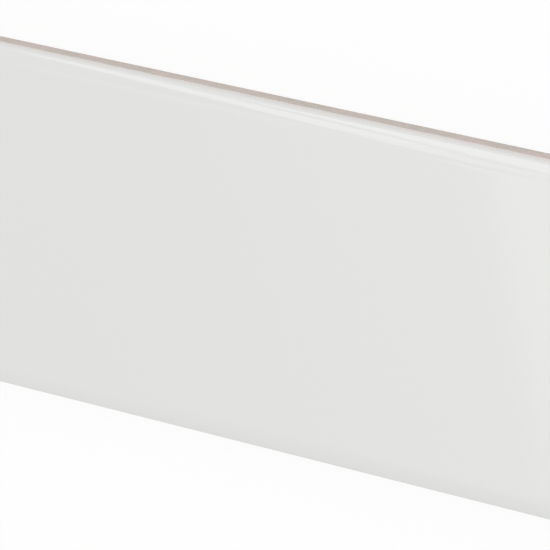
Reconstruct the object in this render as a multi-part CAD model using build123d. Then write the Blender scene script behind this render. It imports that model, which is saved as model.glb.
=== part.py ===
from build123d import *

import os
from math import cos, floor, pi, radians, sin, tan

# A glazed chevron wall tile: one pressed and fired ceramic piece, a parallelogram in plan.
# The long edges lie along X and the glazed face looks up. The origin is the middle of the
# bedding plane, where the back rests. Up from there the edge is a flank that leans out a
# little, an upright land that the next tile is jointed against, and a cushion, the quarter
# ellipse by which the glazed face rolls over to its edge. The back is pressed with shallow
# keying channels that hold the adhesive.

# Plan, in millimetres and degrees
edge_length = 186.0
tile_width = 52.0
end_angle = 45.0
corner_radius = 1.4

# Edge, from the back up to the face
thickness = 8.3
cushion_width = 3.2
cushion_drop = 1.5
land_height = 1.6
flank_setback = 0.15
back_edge_radius = 0.4

# Keying channels in the back
channel_width = 4.5
channel_depth = 0.8
channel_flare = 30.0
channel_corner_radius = 1.2
channel_bed_radius = 0.3
rib_width = 2.5
back_border = 5.5

# Plan sections that the cushion is lofted through
cushion_steps = 7

cushion_base = thickness - cushion_drop
land_base = cushion_base - land_height
slant = radians(end_angle)


def leaning_plan(length, width, radius):
    """A parallelogram about the origin with rounded corners and its ends at the end angle."""
    half_length = length / 2
    half_width = width / 2
    lean = half_width / tan(slant)
    corners = [
        (-half_length - lean, half_width),
        (-half_length + lean, -half_width),
        (half_length + lean, -half_width),
        (half_length - lean, half_width),
    ]
    sharp = make_face(Polyline(*corners, close=True))
    return fillet(sharp.vertices(), radius)


def tile_plan(inset):
    """The tile's outline, moved in by the inset on all four sides."""
    return leaning_plan(edge_length - 2 * inset / sin(slant), tile_width - 2 * inset, corner_radius)


def edge_block():
    """Flank and land: the outline's prism, drawn in to a slightly smaller back."""
    block = extrude(tile_plan(0), cushion_base)
    block = chamfer(block.faces().sort_by(Axis.Z)[0].edges(), land_base, flank_setback)
    return fillet(block.faces().sort_by(Axis.Z)[0].edges(), back_edge_radius)


def cushion():
    """The glazed face and its rolled margin, lofted up a quarter ellipse."""
    sections = []
    for step in range(cushion_steps + 1):
        turn = pi / 2 * step / cushion_steps
        inset = cushion_width * (1 - cos(turn))
        height = cushion_base + cushion_drop * sin(turn)
        sections.append(Pos(0, 0, height) * tile_plan(inset))
    return loft(sections)


def channel_cutter(length):
    """One channel's hollow: wider at its mouth, with its bed rounded into the walls."""
    narrowing = 2 * channel_depth * tan(radians(channel_flare))
    mouth = leaning_plan(length, channel_width, channel_corner_radius)
    bed = leaning_plan(length - narrowing / sin(slant), channel_width - narrowing, channel_corner_radius)
    channel = loft([mouth, Pos(0, 0, channel_depth) * bed], ruled=True)
    return fillet(channel.faces().sort_by(Axis.Z)[-1].edges(), channel_bed_radius)


def keying_channels():
    """Cutters for the channels: as many as fit between the borders, evenly spaced."""
    room = tile_width - 2 * (back_border + flank_setback)
    pitch = channel_width + rib_width
    count = floor((room + rib_width) / pitch)
    length = edge_length - 2 * (back_border + flank_setback) / sin(slant)
    channel = channel_cutter(length)
    cutters = []
    for index in range(count):
        across = (index - (count - 1) / 2) * pitch
        cutters.append(Pos(-across / tan(slant), across, 0) * channel)
    return cutters


tile = edge_block() + cushion()
for cutter in keying_channels():
    tile -= cutter

chevron_tile = tile.solid()
chevron_tile.label = "chevron_tile"

os.makedirs("parts", exist_ok=True)
export_step(chevron_tile, "parts/chevron_tile.step")
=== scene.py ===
from math import pi, radians

import bpy
from mathutils import Matrix, Vector


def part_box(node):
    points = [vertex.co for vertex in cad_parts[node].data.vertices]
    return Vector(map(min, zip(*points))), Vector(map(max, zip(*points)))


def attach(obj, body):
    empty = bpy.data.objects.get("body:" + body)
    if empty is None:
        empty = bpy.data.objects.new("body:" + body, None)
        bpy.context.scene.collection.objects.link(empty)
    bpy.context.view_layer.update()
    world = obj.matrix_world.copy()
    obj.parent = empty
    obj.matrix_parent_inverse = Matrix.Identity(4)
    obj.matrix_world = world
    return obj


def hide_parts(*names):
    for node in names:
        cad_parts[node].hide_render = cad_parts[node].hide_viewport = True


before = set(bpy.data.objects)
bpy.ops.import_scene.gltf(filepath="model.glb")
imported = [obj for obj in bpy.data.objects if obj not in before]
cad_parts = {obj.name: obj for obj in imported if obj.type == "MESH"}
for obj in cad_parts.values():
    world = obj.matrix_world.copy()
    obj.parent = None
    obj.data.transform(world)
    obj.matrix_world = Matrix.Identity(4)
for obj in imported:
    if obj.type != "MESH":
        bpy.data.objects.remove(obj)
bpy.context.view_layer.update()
print("frame loaded")

mm = 0.001               # everything below is written in millimetres


def addNode(tree, kind, inputs=(), **settings):
    node = tree.nodes.new(kind)
    for name, value in settings.items():
        setattr(node, name, value)
    pairs = inputs.items() if isinstance(inputs, dict) else enumerate(inputs)
    for key, value in pairs:
        if isinstance(value, bpy.types.Node):
            value = value.outputs[0]
        if isinstance(value, bpy.types.NodeSocket):
            tree.links.new(value, node.inputs[key])
        else:
            node.inputs[key].default_value = value
    return node


def toLinear(hexColour):
    # sRGB hex to the linear values that the shaders want
    levels = [int(hexColour[at:at + 2], 16) / 255 for at in (1, 3, 5)]
    return [c / 12.92 if c <= 0.04045 else ((c + 0.055) / 1.055) ** 2.4 for c in levels] + [1.0]


# Tile
tileLow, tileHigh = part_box("chevron_tile")

tile = {
    "width": (tileHigh[1] - tileLow[1]) / mm,
    "thickness": (tileHigh[2] - tileLow[2]) / mm,
    "longEdge": 186.0,
    "endAngle": 45.0,
    "cornerRadius": 1.4,
    "cushionWidth": 3.2,
    "cushionDrop": 1.5,
    "glazeLine": 5.55,        # how far above the back the glaze stops
    "glazeThickness": 0.13,
    "glazeWander": 0.3,       # how far the glaze line strays up and down
    "wanderLength": 3.5,
    "wanderNoise": (0.25, 0.75),    # noise values at which it strays that far
    "cushionSwell": 0.05,     # unevenness of the rolled margin
    "swellLength": 24.0,
    "swellNoise": (0.3, 0.7),
    "flankSetback": 0.07,     # how much further in the flank starts than it ends
    "backEdgeRadius": 0.4,
    "faceReach": 0.45,        # how far in the last ring of the face lies, as a share of the width
    "faceCrowding": 2.5,      # above 1 these rings crowd towards the cushion
    "arrisAngle": 25.0,       # a sharper bend than this isn't smoothed over
    "seed": 4.0,
}

channels = {
    "width": 4.5,
    "depth": 0.8,
    "flare": 30.0,
    "cornerRadius": 1.2,
    "bedRadius": 0.3,
    "ribWidth": 2.5,
    "border": 5.65,
    "cutterSlack": 0.5,       # how far outside the back the cutter starts
    "bedSteps": 4,
}

# Steps round half the outline, and up the section from the back to the face's innermost ring
outlineSteps = {"longEdge": 370, "corner": 10, "end": 146}
sectionSteps = {"backEdge": 4, "flank": 3, "lip": 4, "land": 2, "cushion": 20, "face": 4}
halfOutline = outlineSteps["longEdge"] + outlineSteps["end"] + 2 * outlineSteps["corner"]
sectionCount = sum(sectionSteps.values())


def newGroup(name, sockets):
    tree = bpy.data.node_groups.new(name, "GeometryNodeTree")
    for label, direction, kind in sockets:
        tree.interface.new_socket(name=label, in_out=direction, socket_type="NodeSocket" + kind)
    return tree, addNode(tree, "NodeGroupInput").outputs, tree.nodes.new("NodeGroupOutput")


def ringGroup():
    # One ring of the tile: a parallelogram drawn smaller by the inset, its corners rounded.
    # The outline is the same turned half round, so only half of it is worked out.
    tree, given, out = newGroup("rhomboidRing", [
        ("Length", "INPUT", "Float"), ("Width", "INPUT", "Float"), ("End Angle", "INPUT", "Float"),
        ("Corner Radius", "INPUT", "Float"), ("Inset", "INPUT", "Float"),
        ("Position", "OUTPUT", "Vector")])
    index = addNode(tree, "GeometryNodeInputIndex")
    around = addNode(tree, "ShaderNodeMath", [index, 2 * halfOutline], operation="FLOORED_MODULO")
    half = addNode(tree, "ShaderNodeMath", [around, halfOutline - 0.5], operation="GREATER_THAN")
    side = addNode(tree, "ShaderNodeMapRange", [half, 0, 1, 1, -1])
    step = addNode(tree, "ShaderNodeMath", [around, halfOutline], operation="FLOORED_MODULO")

    ramps = []
    start = 0
    for stretch in ("longEdge", "corner", "end", "corner"):
        end = start + outlineSteps[stretch]
        ramps.append(addNode(tree, "ShaderNodeMapRange", [step, start, end]))
        start = end
    alongEdge, firstCorner, alongEnd, secondCorner = ramps

    setIn = addNode(tree, "ShaderNodeMath", [given["Inset"], given["Corner Radius"]], operation="ADD")
    sine = addNode(tree, "ShaderNodeMath", [given["End Angle"]], operation="SINE")
    tangent = addNode(tree, "ShaderNodeMath", [given["End Angle"]], operation="TANGENT")
    slope = addNode(tree, "ShaderNodeMath", [setIn, sine], operation="DIVIDE")
    length = addNode(tree, "ShaderNodeMath", [slope, -2, given["Length"]], operation="MULTIPLY_ADD")
    width = addNode(tree, "ShaderNodeMath", [setIn, -2, given["Width"]], operation="MULTIPLY_ADD")
    shear = addNode(tree, "ShaderNodeMath", [width, tangent], operation="DIVIDE")

    # Start corner, then along the long edge, then up the slanted end
    startDouble = addNode(tree, "ShaderNodeMath", [shear, length], operation="SUBTRACT")
    corner = addNode(tree, "ShaderNodeCombineXYZ", [startDouble, addNode(
        tree, "ShaderNodeMath", [width, -1], operation="MULTIPLY")])
    cornerHalf = addNode(tree, "ShaderNodeVectorMath", {"Vector": corner, "Scale": 0.5}, operation="SCALE")
    edgeRun = addNode(tree, "ShaderNodeMath", [length, alongEdge], operation="MULTIPLY")
    endRise = addNode(tree, "ShaderNodeMath", [width, alongEnd], operation="MULTIPLY")
    endRun = addNode(tree, "ShaderNodeMath", [shear, alongEnd], operation="MULTIPLY")
    run = addNode(tree, "ShaderNodeMath", [edgeRun, endRun], operation="SUBTRACT")
    travelled = addNode(tree, "ShaderNodeCombineXYZ", [run, endRise])
    skeleton = addNode(tree, "ShaderNodeVectorMath", [cornerHalf, travelled], operation="ADD")

    # The outward direction turns by the acute corner's outer angle, then by the blunt one's
    turnLeft = addNode(tree, "ShaderNodeMath", [pi, given["End Angle"]], operation="SUBTRACT")
    firstTurn = addNode(tree, "ShaderNodeMath", [turnLeft, firstCorner, -pi / 2], operation="MULTIPLY_ADD")
    heading = addNode(tree, "ShaderNodeMath", [given["End Angle"], secondCorner, firstTurn],
                      operation="MULTIPLY_ADD")
    outward = addNode(tree, "ShaderNodeCombineXYZ", [
        addNode(tree, "ShaderNodeMath", [heading], operation="COSINE"),
        addNode(tree, "ShaderNodeMath", [heading], operation="SINE")])
    rounded = addNode(tree, "ShaderNodeVectorMath", {"Vector": outward, "Scale": given["Corner Radius"]},
                      operation="SCALE")
    ring = addNode(tree, "ShaderNodeVectorMath", [skeleton, rounded], operation="ADD")
    turned = addNode(tree, "ShaderNodeVectorMath", {"Vector": ring, "Scale": side}, operation="SCALE")
    tree.links.new(turned.outputs[0], out.inputs["Position"])
    return tree


def edgeSection(tree, given, level, wander, swell):
    # How far in and how high each ring lies. Every stretch of the section has a ramp that is 0
    # below it, 1 above it and rises evenly through it.
    ramps = []
    start = 0
    for steps in sectionSteps.values():
        ramps.append(addNode(tree, "ShaderNodeMapRange", [level, start, start + steps]))
        start += steps
    backEdge, flank, lip, land, cushion, face = ramps

    # Quarter turns of the back edge, the glaze lip and the cushion
    sines, cosines = {}, {}
    for name, ramp in (("backEdge", backEdge), ("lip", lip), ("cushion", cushion)):
        angle = addNode(tree, "ShaderNodeMath", [ramp, pi / 2], operation="MULTIPLY")
        sines[name] = addNode(tree, "ShaderNodeMath", [angle], operation="SINE")
        cosine = addNode(tree, "ShaderNodeMath", [angle], operation="COSINE")
        cosines[name] = addNode(tree, "ShaderNodeMath", [1, cosine], operation="SUBTRACT")

    # Inset: the back edge, the flank and the lip come out to the land, the cushion and the
    # face go in
    swollen = addNode(tree, "ShaderNodeMapRange", [
        swell, *tile["swellNoise"],
        addNode(tree, "ShaderNodeMath", [given["Cushion Swell"], -1], operation="MULTIPLY"),
        given["Cushion Swell"]])
    cushionRun = addNode(tree, "ShaderNodeMath", [given["Cushion Width"], swollen], operation="ADD")
    backIn = addNode(tree, "ShaderNodeMath", [sines["backEdge"], 1], operation="SUBTRACT")
    flankIn = addNode(tree, "ShaderNodeMath", [flank, 1], operation="SUBTRACT")
    lipIn = addNode(tree, "ShaderNodeMath", [sines["lip"], 1], operation="SUBTRACT")
    reach = addNode(tree, "ShaderNodeMath", [given["Width"], tile["faceReach"]], operation="MULTIPLY")
    faceRun = addNode(tree, "ShaderNodeMath", [reach, given["Cushion Width"]], operation="SUBTRACT")
    faceIn = addNode(tree, "ShaderNodeMath", [face, tile["faceCrowding"]], operation="POWER")
    inset = 0.0
    for share, size in ((backIn, given["Back Edge Radius"]), (flankIn, given["Flank Setback"]),
                        (lipIn, given["Glaze Thickness"])):
        away = addNode(tree, "ShaderNodeMath", [share, -1], operation="MULTIPLY")
        inset = addNode(tree, "ShaderNodeMath", [away, size, inset], operation="MULTIPLY_ADD")
    for share, size in ((cosines["cushion"], cushionRun), (faceIn, faceRun)):
        inset = addNode(tree, "ShaderNodeMath", [share, size, inset], operation="MULTIPLY_ADD")

    # Height: each stretch adds its own rise, and the lip strays up and down
    landTop = addNode(tree, "ShaderNodeMath", [given["Thickness"], given["Cushion Drop"]],
                      operation="SUBTRACT")
    flankRise = addNode(tree, "ShaderNodeMath", [given["Glaze Line"], given["Back Edge Radius"]],
                        operation="SUBTRACT")
    lipTop = addNode(tree, "ShaderNodeMath", [given["Glaze Line"], given["Glaze Thickness"]],
                     operation="ADD")
    landRise = addNode(tree, "ShaderNodeMath", [landTop, lipTop], operation="SUBTRACT")
    rise = 0.0
    for share, size in ((cosines["backEdge"], given["Back Edge Radius"]), (flank, flankRise),
                        (cosines["lip"], given["Glaze Thickness"]), (land, landRise),
                        (sines["cushion"], given["Cushion Drop"])):
        rise = addNode(tree, "ShaderNodeMath", [share, size, rise], operation="MULTIPLY_ADD")
    onLip = addNode(tree, "ShaderNodeMath", [flank, land], operation="SUBTRACT")
    stray = addNode(tree, "ShaderNodeMapRange", [
        wander, *tile["wanderNoise"],
        addNode(tree, "ShaderNodeMath", [given["Glaze Wander"], -1], operation="MULTIPLY"),
        given["Glaze Wander"]])
    rise = addNode(tree, "ShaderNodeMath", [onLip, stray, rise], operation="MULTIPLY_ADD")
    return inset, rise


def pressedForm(tree, ring, given):
    # The rows of a closed barrel become the rings of the tile, from the back to the face
    barrel = addNode(tree, "GeometryNodeMeshCylinder", {
        "Vertices": 2 * halfOutline, "Side Segments": sectionCount, "Radius": 1.0, "Depth": 1.0})
    height = addNode(tree, "ShaderNodeSeparateXYZ", [addNode(tree, "GeometryNodeInputPosition")])
    level = addNode(tree, "ShaderNodeMapRange", [height.outputs["Z"], -0.5, 0.5, 0, sectionCount])

    # Faces from the lip upwards carry glaze
    lipStart = sectionSteps["backEdge"] + sectionSteps["flank"]
    glazed = addNode(tree, "ShaderNodeMath", [level, lipStart], operation="GREATER_THAN")
    marked = addNode(tree, "GeometryNodeStoreNamedAttribute", {
        "Geometry": barrel, "Name": "glazed", "Value": glazed}, data_type="FLOAT", domain="FACE")

    # Unevenness comes from noise read at the tile's own outline, so it follows the edge round
    outline = addNode(tree, "GeometryNodeGroup", {}, node_tree=ring)
    wanderScale = addNode(tree, "ShaderNodeMath", [1, given["Wander Length"]], operation="DIVIDE")
    wander = addNode(tree, "ShaderNodeTexNoise", {
        "Vector": outline, "W": given["Seed"], "Scale": wanderScale, "Detail": 2.0}, noise_dimensions="4D")
    swellScale = addNode(tree, "ShaderNodeMath", [1, given["Swell Length"]], operation="DIVIDE")
    swell = addNode(tree, "ShaderNodeTexNoise", {
        "Vector": outline, "W": given["Seed"], "Scale": swellScale, "Detail": 1.0}, noise_dimensions="4D")

    inset, rise = edgeSection(tree, given, level, wander, swell)
    rings = addNode(tree, "GeometryNodeGroup", {"Inset": inset}, node_tree=ring)
    for group in (outline, rings):
        for name in ("Length", "Width", "End Angle", "Corner Radius"):
            tree.links.new(given[name], group.inputs[name])
    plan = addNode(tree, "ShaderNodeSeparateXYZ", [rings])
    place = addNode(tree, "ShaderNodeCombineXYZ", [plan.outputs["X"], plan.outputs["Y"], rise])
    return addNode(tree, "GeometryNodeSetPosition", {"Geometry": marked, "Position": place})


def channelCutter(tree, ring, given):
    # One keying channel's hollow, wider at its mouth and rounded at its bed
    slack = channels["cutterSlack"] * mm
    bedSteps = channels["bedSteps"]
    barrel = addNode(tree, "GeometryNodeMeshCylinder", {
        "Vertices": 2 * halfOutline, "Side Segments": 1 + bedSteps, "Radius": 1.0, "Depth": 1.0})
    height = addNode(tree, "ShaderNodeSeparateXYZ", [addNode(tree, "GeometryNodeInputPosition")])
    level = addNode(tree, "ShaderNodeMapRange", [height.outputs["Z"], -0.5, 0.5, 0, 1 + bedSteps])
    wall = addNode(tree, "ShaderNodeMapRange", [level, 0, 1])
    curl = addNode(tree, "ShaderNodeMapRange", [level, 1, 1 + bedSteps, given["Channel Flare"], pi / 2])
    radius = given["Channel Bed Radius"]

    # The wall rises along the flare to where the arc starts, and the arc turns it into the bed
    flareSine = addNode(tree, "ShaderNodeMath", [given["Channel Flare"]], operation="SINE")
    flareCosine = addNode(tree, "ShaderNodeMath", [given["Channel Flare"]], operation="COSINE")
    flareTangent = addNode(tree, "ShaderNodeMath", [given["Channel Flare"]], operation="TANGENT")
    arcBase = addNode(tree, "ShaderNodeMath", [given["Channel Depth"], radius], operation="SUBTRACT")
    wallTop = addNode(tree, "ShaderNodeMath", [flareSine, radius, arcBase], operation="MULTIPLY_ADD")
    wallHeight = addNode(tree, "ShaderNodeMapRange", [wall, 0, 1, -slack, wallTop])
    wallIn = addNode(tree, "ShaderNodeMath", [wallHeight, flareTangent], operation="MULTIPLY")
    curlSine = addNode(tree, "ShaderNodeMath", [curl], operation="SINE")
    curlCosine = addNode(tree, "ShaderNodeMath", [curl], operation="COSINE")
    arcRise = addNode(tree, "ShaderNodeMath", [curlSine, flareSine], operation="SUBTRACT")
    arcIn = addNode(tree, "ShaderNodeMath", [flareCosine, curlCosine], operation="SUBTRACT")
    curlRise = addNode(tree, "ShaderNodeMath", [arcRise, radius, wallHeight], operation="MULTIPLY_ADD")
    inset = addNode(tree, "ShaderNodeMath", [arcIn, radius, wallIn], operation="MULTIPLY_ADD")
    sine = addNode(tree, "ShaderNodeMath", [given["End Angle"]], operation="SINE")
    endBorder = addNode(tree, "ShaderNodeMath", [given["Back Border"], sine], operation="DIVIDE")
    length = addNode(tree, "ShaderNodeMath", [endBorder, -2, given["Length"]], operation="MULTIPLY_ADD")
    rings = addNode(tree, "GeometryNodeGroup", {
        "Length": length, "Width": given["Channel Width"], "End Angle": given["End Angle"],
        "Corner Radius": given["Channel Corner Radius"], "Inset": inset}, node_tree=ring)
    plan = addNode(tree, "ShaderNodeSeparateXYZ", [rings])
    place = addNode(tree, "ShaderNodeCombineXYZ", [plan.outputs["X"], plan.outputs["Y"], curlRise])
    return addNode(tree, "GeometryNodeSetPosition", {"Geometry": barrel, "Position": place})


def keyingChannels(tree, given, cutter):
    # As many channels as fit between the borders, one pitch apart and stepped along the slant
    pitch = addNode(tree, "ShaderNodeMath", [given["Channel Width"], given["Rib Width"]], operation="ADD")
    room = addNode(tree, "ShaderNodeMath", [given["Back Border"], -2, given["Width"]],
                   operation="MULTIPLY_ADD")
    spread = addNode(tree, "ShaderNodeMath", [room, given["Rib Width"]], operation="ADD")
    fitting = addNode(tree, "ShaderNodeMath", [spread, pitch], operation="DIVIDE")
    count = addNode(tree, "ShaderNodeMath", [fitting], operation="FLOOR")
    tangent = addNode(tree, "ShaderNodeMath", [given["End Angle"]], operation="TANGENT")
    slant = addNode(tree, "ShaderNodeMath", [pitch, tangent], operation="DIVIDE")
    backwards = addNode(tree, "ShaderNodeMath", [slant, -1], operation="MULTIPLY")
    offset = addNode(tree, "ShaderNodeCombineXYZ", [backwards, pitch])
    gaps = addNode(tree, "ShaderNodeMath", [count, 1], operation="SUBTRACT")
    halfSpan = addNode(tree, "ShaderNodeMath", [gaps, -0.5], operation="MULTIPLY")
    first = addNode(tree, "ShaderNodeVectorMath", {"Vector": offset, "Scale": halfSpan}, operation="SCALE")
    row = addNode(tree, "GeometryNodeMeshLine", {"Count": count, "Start Location": first, "Offset": offset})
    cutters = addNode(tree, "GeometryNodeInstanceOnPoints", {"Points": row, "Instance": cutter})
    return addNode(tree, "GeometryNodeRealizeInstances", [cutters])


def tileTree(ring, glaze, clay):
    tree, given, out = newGroup("pressedTile", [
        ("Length", "INPUT", "Float"), ("Width", "INPUT", "Float"), ("Thickness", "INPUT", "Float"),
        ("End Angle", "INPUT", "Float"), ("Corner Radius", "INPUT", "Float"),
        ("Cushion Width", "INPUT", "Float"), ("Cushion Drop", "INPUT", "Float"),
        ("Flank Setback", "INPUT", "Float"), ("Back Edge Radius", "INPUT", "Float"),
        ("Glaze Line", "INPUT", "Float"), ("Glaze Thickness", "INPUT", "Float"),
        ("Glaze Wander", "INPUT", "Float"), ("Wander Length", "INPUT", "Float"),
        ("Cushion Swell", "INPUT", "Float"), ("Swell Length", "INPUT", "Float"),
        ("Channel Width", "INPUT", "Float"), ("Channel Depth", "INPUT", "Float"),
        ("Channel Flare", "INPUT", "Float"), ("Channel Corner Radius", "INPUT", "Float"),
        ("Channel Bed Radius", "INPUT", "Float"),
        ("Rib Width", "INPUT", "Float"), ("Back Border", "INPUT", "Float"),
        ("Seed", "INPUT", "Float"),
        ("Tile", "OUTPUT", "Geometry")])
    formed = pressedForm(tree, ring, given)
    cutters = keyingChannels(tree, given, channelCutter(tree, ring, given))
    keyed = addNode(tree, "GeometryNodeMeshBoolean", {"Mesh 1": formed, "Mesh 2": cutters},
                    operation="DIFFERENCE", solver="EXACT")

    # Smooth all over but for real arrises, then the two finishes
    smooth = addNode(tree, "GeometryNodeSetShadeSmooth", {"Geometry": keyed, "Shade Smooth": True},
                     domain="FACE")
    bend = addNode(tree, "GeometryNodeInputMeshEdgeAngle")
    arris = addNode(tree, "ShaderNodeMath", [bend.outputs["Unsigned Angle"], radians(tile["arrisAngle"])],
                    operation="GREATER_THAN")
    crisp = addNode(tree, "GeometryNodeSetShadeSmooth", {
        "Geometry": smooth, "Selection": arris, "Shade Smooth": False}, domain="EDGE")
    realized = addNode(tree, "GeometryNodeRealizeInstances", [crisp])
    asClay = addNode(tree, "GeometryNodeSetMaterial", {"Geometry": realized, "Material": clay})
    isGlazed = addNode(tree, "GeometryNodeInputNamedAttribute", {"Name": "glazed"}, data_type="FLOAT")
    asGlaze = addNode(tree, "GeometryNodeSetMaterial", {
        "Geometry": asClay, "Selection": isGlazed, "Material": glaze})
    tree.links.new(asGlaze.outputs[0], out.inputs["Tile"])
    return tree


def asMesh(piece):
    # The tree's result as a plain mesh with nothing live left on it
    depsgraph = bpy.context.evaluated_depsgraph_get()
    mesh = bpy.data.meshes.new_from_object(piece.evaluated_get(depsgraph), depsgraph=depsgraph)
    piece.modifiers.clear()
    piece.data = mesh
    mesh.name = piece.name


def makeTile(glaze, clay):
    piece = bpy.data.objects.new("glazed_tile", bpy.data.meshes.new("glazed_tile"))
    bpy.context.scene.collection.objects.link(piece)
    tree = tileTree(ringGroup(), glaze, clay)
    modifier = piece.modifiers.new("pressed tile", "NODES")
    modifier.node_group = tree
    sizes = {
        "Length": tile["longEdge"] * mm, "Width": tile["width"] * mm,
        "Thickness": tile["thickness"] * mm, "End Angle": radians(tile["endAngle"]),
        "Corner Radius": tile["cornerRadius"] * mm,
        "Cushion Width": tile["cushionWidth"] * mm, "Cushion Drop": tile["cushionDrop"] * mm,
        "Flank Setback": tile["flankSetback"] * mm, "Back Edge Radius": tile["backEdgeRadius"] * mm,
        "Glaze Line": tile["glazeLine"] * mm, "Glaze Thickness": tile["glazeThickness"] * mm,
        "Glaze Wander": tile["glazeWander"] * mm, "Wander Length": tile["wanderLength"] * mm,
        "Cushion Swell": tile["cushionSwell"] * mm, "Swell Length": tile["swellLength"] * mm,
        "Channel Width": channels["width"] * mm, "Channel Depth": channels["depth"] * mm,
        "Channel Flare": radians(channels["flare"]),
        "Channel Corner Radius": channels["cornerRadius"] * mm,
        "Channel Bed Radius": channels["bedRadius"] * mm,
        "Rib Width": channels["ribWidth"] * mm, "Back Border": channels["border"] * mm,
        "Seed": tile["seed"],
    }
    for item in tree.interface.items_tree:
        if item.in_out == "INPUT":
            modifier[item.identifier] = sizes[item.name]
    asMesh(piece)
    print("tile formed,", len(piece.data.polygons), "faces")
    return piece


# Finishes
glazeLook = {
    "white": "#E0E0DE",
    "thinColour": "#D0C7C0",
    "thinFrom": 6.2,          # heights between which the glaze thickens to its full cover
    "thinTo": 7.55,
    "roughness": 0.05,
    "ior": 1.52,
    "peelSize": 1.6,          # spacing of the faint orange peel
    "peelHeight": 0.003,
}

# Each pair of noise values is where a cloud starts to rise and where it reaches its full cover
clayLook = {
    "pink": "#CBBBB7",
    "grey": "#BEB8AF",
    "patchSize": 3.4,         # spacing of the mottling from pink to grey
    "patchNoise": (0.36, 0.64),
    "sand": "#DBD4CF",
    "sandSize": 0.35,         # drawn coarser than the real sand, so that it shows
    "sandNoise": (0.5, 0.72),
    "sandCover": 0.55,
    "speck": "#A2978E",
    "speckSize": 0.8,
    "speckNoise": (0.64, 0.74),
    "speckCover": 0.45,
    "wash": "#E6E1DC",        # kiln wash left on the ribs of the back
    "washSize": 2.4,
    "washNoise": (0.4, 0.6),
    "washCover": (0.15, 0.55),
    "washDepth": 0.15,        # how far above the shelf it clings
    "grainHeight": 0.04,
    "roughness": 0.85,
    "ior": 1.5,
}


def newMaterial(name):
    material = bpy.data.materials.new(name)
    material.use_nodes = True
    tree = material.node_tree
    tree.nodes.clear()
    return material, tree, tree.nodes.new("ShaderNodeOutputMaterial")


def glossWhiteGlaze():
    # Opaque white glaze, fired smooth: a clean gloss with a faint orange peel, and the clay
    # warming it where it thins out at its lower edge
    material, tree, out = newMaterial("gloss white glaze")
    place = addNode(tree, "ShaderNodeTexCoord").outputs["Object"]
    height = addNode(tree, "ShaderNodeSeparateXYZ", [place]).outputs["Z"]
    cover = addNode(tree, "ShaderNodeMapRange", [
        height, glazeLook["thinFrom"] * mm, glazeLook["thinTo"] * mm], interpolation_type="SMOOTHSTEP")
    colour = addNode(tree, "ShaderNodeMix", {
        "Factor": cover, 6: toLinear(glazeLook["thinColour"]), 7: toLinear(glazeLook["white"])},
        data_type="RGBA")
    peel = addNode(tree, "ShaderNodeTexNoise", {
        "Vector": place, "Scale": 1 / (glazeLook["peelSize"] * mm), "Detail": 2.0})
    bump = addNode(tree, "ShaderNodeBump", {
        "Strength": 1.0, "Distance": glazeLook["peelHeight"] * mm, "Height": peel})
    surface = addNode(tree, "ShaderNodeBsdfPrincipled", {
        "Base Color": colour.outputs[2], "Roughness": glazeLook["roughness"], "IOR": glazeLook["ior"],
        "Normal": bump})
    tree.links.new(surface.outputs[0], out.inputs["Surface"])
    return material


def firedClay():
    # Dust-pressed clay, fired bare: matt and dry, faintly mottled from pinkish to grey, with
    # pale sand and darker specks in it, and a chalky trace of kiln wash on the ribs of the back
    material, tree, out = newMaterial("fired clay body")
    place = addNode(tree, "ShaderNodeTexCoord").outputs["Object"]

    # Four clouds of noise that have nothing to do with one another
    patches, sand, specks, chalk = [
        addNode(tree, "ShaderNodeTexNoise", {
            "Vector": place, "W": seed, "Scale": 1 / (clayLook[size] * mm), "Detail": detail},
            noise_dimensions="4D")
        for seed, (size, detail) in enumerate((
            ("patchSize", 2.0), ("sandSize", 4.0), ("speckSize", 1.0), ("washSize", 5.0)))]
    patchy = addNode(tree, "ShaderNodeMapRange", [patches, *clayLook["patchNoise"]])
    sandy = addNode(tree, "ShaderNodeMapRange", [sand, *clayLook["sandNoise"], 0, clayLook["sandCover"]])
    specked = addNode(tree, "ShaderNodeMapRange", [
        specks, *clayLook["speckNoise"], 0, clayLook["speckCover"]])

    # The wash only touched what stood on the kiln shelf
    height = addNode(tree, "ShaderNodeSeparateXYZ", [place]).outputs["Z"]
    onBack = addNode(tree, "ShaderNodeMapRange", [height, 0, clayLook["washDepth"] * mm, 1, 0])
    chalky = addNode(tree, "ShaderNodeMapRange", [chalk, *clayLook["washNoise"], *clayLook["washCover"]])
    washed = addNode(tree, "ShaderNodeMath", [onBack, chalky], operation="MULTIPLY")

    tint = toLinear(clayLook["pink"])
    for share, name in ((patchy, "grey"), (sandy, "sand"), (specked, "speck"), (washed, "wash")):
        tint = addNode(tree, "ShaderNodeMix", {
            "Factor": share, 6: tint, 7: toLinear(clayLook[name])}, data_type="RGBA").outputs[2]
    bump = addNode(tree, "ShaderNodeBump", {
        "Strength": 1.0, "Distance": clayLook["grainHeight"] * mm, "Height": sand})
    surface = addNode(tree, "ShaderNodeBsdfPrincipled", {
        "Base Color": tint, "Roughness": clayLook["roughness"], "IOR": clayLook["ior"],
        "Normal": bump})
    tree.links.new(surface.outputs[0], out.inputs["Surface"])
    return material


# Studio
studio = {
    "floorSize": 6000.0,
    "floorDrop": 0.02,        # just under the tile, so that the two planes don't fight
    "floorColour": "#F6F6F6",
    "floorGlow": 0.9,         # share of the floor's white that no shadow darkens
    "mirroredGlow": 0.5,      # the same share as the gloss mirrors it
    "skyStrength": 0.88,
    "cardHeight": 800.0,
    "cutSoftness": 15.0,      # how far to either side of a card's cut the glow changes
    "cutGlow": 0.45,          # share of the glow that is left in the cut corner
    "keyFrom": (0.0, 450.0, 900.0),
    "keySize": 500.0,
    "keyPower": 1.41,
}

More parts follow.
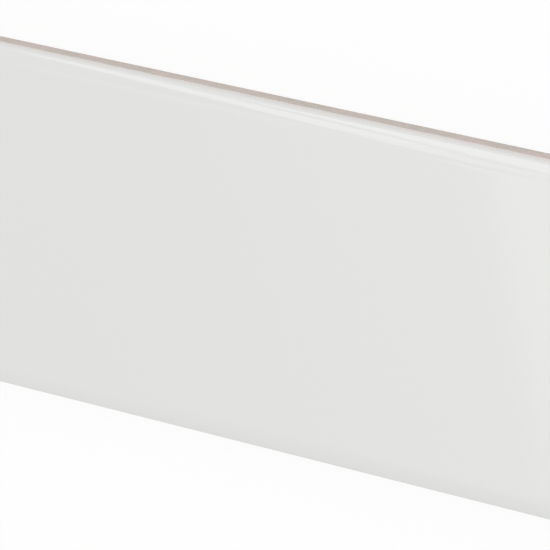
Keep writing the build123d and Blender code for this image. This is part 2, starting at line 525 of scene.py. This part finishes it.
# Glowing cards overhead that only the gloss shows. Each lies in axes of its own, turned about
# the vertical, from left to right across and from near to far along. Its left and near edges
# fade in over its two fades, and where it has a cut, its near right corner is dimmed along a
# slant. It hangs its lift above the cards' height, so that cards that overlap don't touch.
cards = {
    "broadCard": {"turn": 19.3, "across": (-45.0, 420.0), "along": (250.0, 1950.0), "lift": 0.0,
                  "radiance": 1.95, "fades": (2.0, 60.0), "cut": (0.0, 0.0)},
    "stripCard": {"turn": 21.5, "across": (-156.0, -52.0), "along": (150.0, 1950.0), "lift": 5.0,
                  "radiance": 1.75, "fades": (12.0, 180.0), "cut": (74.0, 296.0)},
    "gapCard": {"turn": 21.5, "across": (-52.0, -22.0), "along": (250.0, 560.0), "lift": 5.0,
                "radiance": 0.55, "fades": (2.0, 2.0), "cut": (0.0, 0.0)},
    "faceCard": {"turn": 21.5, "across": (-150.0, 700.0), "along": (-450.0, 250.0), "lift": 10.0,
                 "radiance": 0.8, "fades": (5.0, 5.0), "cut": (0.0, 0.0)},
    "sideCard": {"turn": 21.5, "across": (-221.0, -150.0), "along": (-450.0, 10.0), "lift": 15.0,
                 "radiance": 0.95, "fades": (20.0, 5.0), "cut": (0.0, 0.0)},
    "veilCard": {"turn": 21.5, "across": (-430.0, 900.0), "along": (-900.0, 250.0), "lift": 20.0,
                 "radiance": 0.45, "fades": (200.0, 5.0), "cut": (0.0, 0.0)},
}

# The photograph's view: where the lens looks, where it is and how it is turned
view = {
    "aim": (-0.132, 0.824, 8.3),
    "from": (131.405, 105.669, 418.924),
    "roll": 8.799,
    "lens": 196.36,
    "sensor": 36.0,
    "clipStart": 10.0,
}


def seenShare(tree, straight, mirrored):
    # The first value for what the camera sees straight, the second for what it sees mirrored or
    # through something, and 0 for light that falls
    path = addNode(tree, "ShaderNodeLightPath").outputs
    either = addNode(tree, "ShaderNodeMath", [path["Is Glossy Ray"], path["Is Transmission Ray"]],
                     operation="MAXIMUM")
    mirroredShare = addNode(tree, "ShaderNodeMath", [either, mirrored], operation="MULTIPLY")
    return addNode(tree, "ShaderNodeMath", [path["Is Camera Ray"], straight, mirroredShare],
                   operation="MULTIPLY_ADD")


def makeFloor():
    half = studio["floorSize"] / 2 * mm
    drop = studio["floorDrop"] * mm
    mesh = bpy.data.meshes.new("studio_floor")
    corners = [(x, y, -drop) for x, y in ((-half, -half), (half, -half), (half, half), (-half, half))]
    mesh.from_pydata(corners, [], [(0, 1, 2, 3)])
    floorSheet = bpy.data.objects.new("studio_floor", mesh)
    bpy.context.scene.collection.objects.link(floorSheet)
    material, tree, out = newMaterial("matt white sweep")
    paper = addNode(tree, "ShaderNodeBsdfDiffuse", {"Color": toLinear(studio["floorColour"])})
    glow = addNode(tree, "ShaderNodeEmission", {"Strength": 1.0})
    share = seenShare(tree, studio["floorGlow"], studio["mirroredGlow"])
    surface = addNode(tree, "ShaderNodeMixShader", [share, paper, glow])
    tree.links.new(surface.outputs[0], out.inputs["Surface"])
    mesh.materials.append(material)


def makeSky():
    world = bpy.data.worlds.new("studio")
    world.use_nodes = True
    bpy.context.scene.world = world
    tree = world.node_tree
    tree.nodes.clear()
    white = toLinear("#FFFFFF")
    falling = addNode(tree, "ShaderNodeBackground", [white, studio["skyStrength"]])
    seen = addNode(tree, "ShaderNodeBackground", [white, 1.0])
    mixed = addNode(tree, "ShaderNodeMixShader", [seenShare(tree, 1.0, 1.0), falling, seen])
    out = tree.nodes.new("ShaderNodeOutputWorld")
    tree.links.new(mixed.outputs[0], out.inputs["Surface"])


def addLamp(name, size, power):
    lamp = bpy.data.lights.new(name, "AREA")
    lamp.shape = "RECTANGLE"
    lamp.size, lamp.size_y = size[0] * mm, size[1] * mm
    lamp.energy = power
    holder = bpy.data.objects.new(name, lamp)
    bpy.context.scene.collection.objects.link(holder)
    return holder


def addCard(name, card):
    width, length = [high - low for low, high in (card["across"], card["along"])]
    panel = addLamp(name, (width, length), card["radiance"] * pi * width * length * mm * mm)
    panel.data.use_nodes = True
    tree = panel.data.node_tree
    tree.nodes.clear()
    place = addNode(tree, "ShaderNodeSeparateXYZ", [
        addNode(tree, "ShaderNodeNewGeometry").outputs["Parametric"]])
    strength = 1.0
    for axis, size, fade in (("X", width, card["fades"][0]), ("Y", length, card["fades"][1])):
        share = addNode(tree, "ShaderNodeMapRange", [place.outputs[axis], 0, fade / size],
                        interpolation_type="SMOOTHSTEP")
        strength = addNode(tree, "ShaderNodeMath", [strength, share], operation="MULTIPLY")
    cutAcross, cutAlong = card["cut"]
    if cutAcross:
        # 1 at the right edge and at the near one where the slant meets them
        fromRight = addNode(tree, "ShaderNodeMath", [1, place.outputs["X"]], operation="SUBTRACT")
        inFromRight = addNode(tree, "ShaderNodeMath", [fromRight, width / cutAcross], operation="MULTIPLY")
        past = addNode(tree, "ShaderNodeMath", [place.outputs["Y"], length / cutAlong, inFromRight],
                       operation="MULTIPLY_ADD")
        soft = studio["cutSoftness"] / cutAcross
        share = addNode(tree, "ShaderNodeMapRange", [past, 1 - soft, 1 + soft, studio["cutGlow"], 1],
                        interpolation_type="SMOOTHSTEP")
        strength = addNode(tree, "ShaderNodeMath", [strength, share], operation="MULTIPLY")
    glow = addNode(tree, "ShaderNodeEmission", {"Strength": strength})
    out = tree.nodes.new("ShaderNodeOutputLight")
    tree.links.new(glow.outputs[0], out.inputs["Surface"])
    turn = Matrix.Rotation(radians(card["turn"]), 4, "Z")
    middle = Vector((sum(card["across"]) / 2, sum(card["along"]) / 2, studio["cardHeight"] + card["lift"]))
    panel.matrix_world = turn @ Matrix.Translation(middle * mm)
    panel.visible_diffuse = False


def makeLights():
    for name, card in cards.items():
        addCard(name, card)

    # A soft key light that models the edges
    key = addLamp("keyLight", (studio["keySize"], studio["keySize"]), studio["keyPower"])
    key.location = Vector(studio["keyFrom"]) * mm
    key.rotation_euler = key.location.to_track_quat("Z", "Y").to_euler()
    key.visible_glossy = False


def makeCamera():
    camera = bpy.data.objects.new("camera", bpy.data.cameras.new("camera"))
    bpy.context.scene.collection.objects.link(camera)
    camera.data.lens = view["lens"]
    camera.data.sensor_width = view["sensor"]
    back = (Vector(view["from"]) - Vector(view["aim"])).normalized()
    right = Vector((0, 1, 0)).cross(back).normalized()
    turned = Matrix((right, back.cross(right), back)).transposed() @ Matrix.Rotation(
        radians(view["roll"]), 3, "Z")
    camera.matrix_world = Matrix.Translation(Vector(view["from"]) * mm) @ turned.to_4x4()
    camera.data.clip_start = view["clipStart"] * mm
    bpy.context.scene.camera = camera


glaze, clay = glossWhiteGlaze(), firedClay()
print("glaze and clay mixed")

piece = makeTile(glaze, clay)
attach(piece, "root")
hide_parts("chevron_tile")

makeFloor()
makeSky()
makeLights()
makeCamera()
bpy.context.scene.view_settings.view_transform = "Standard"
print("studio set")
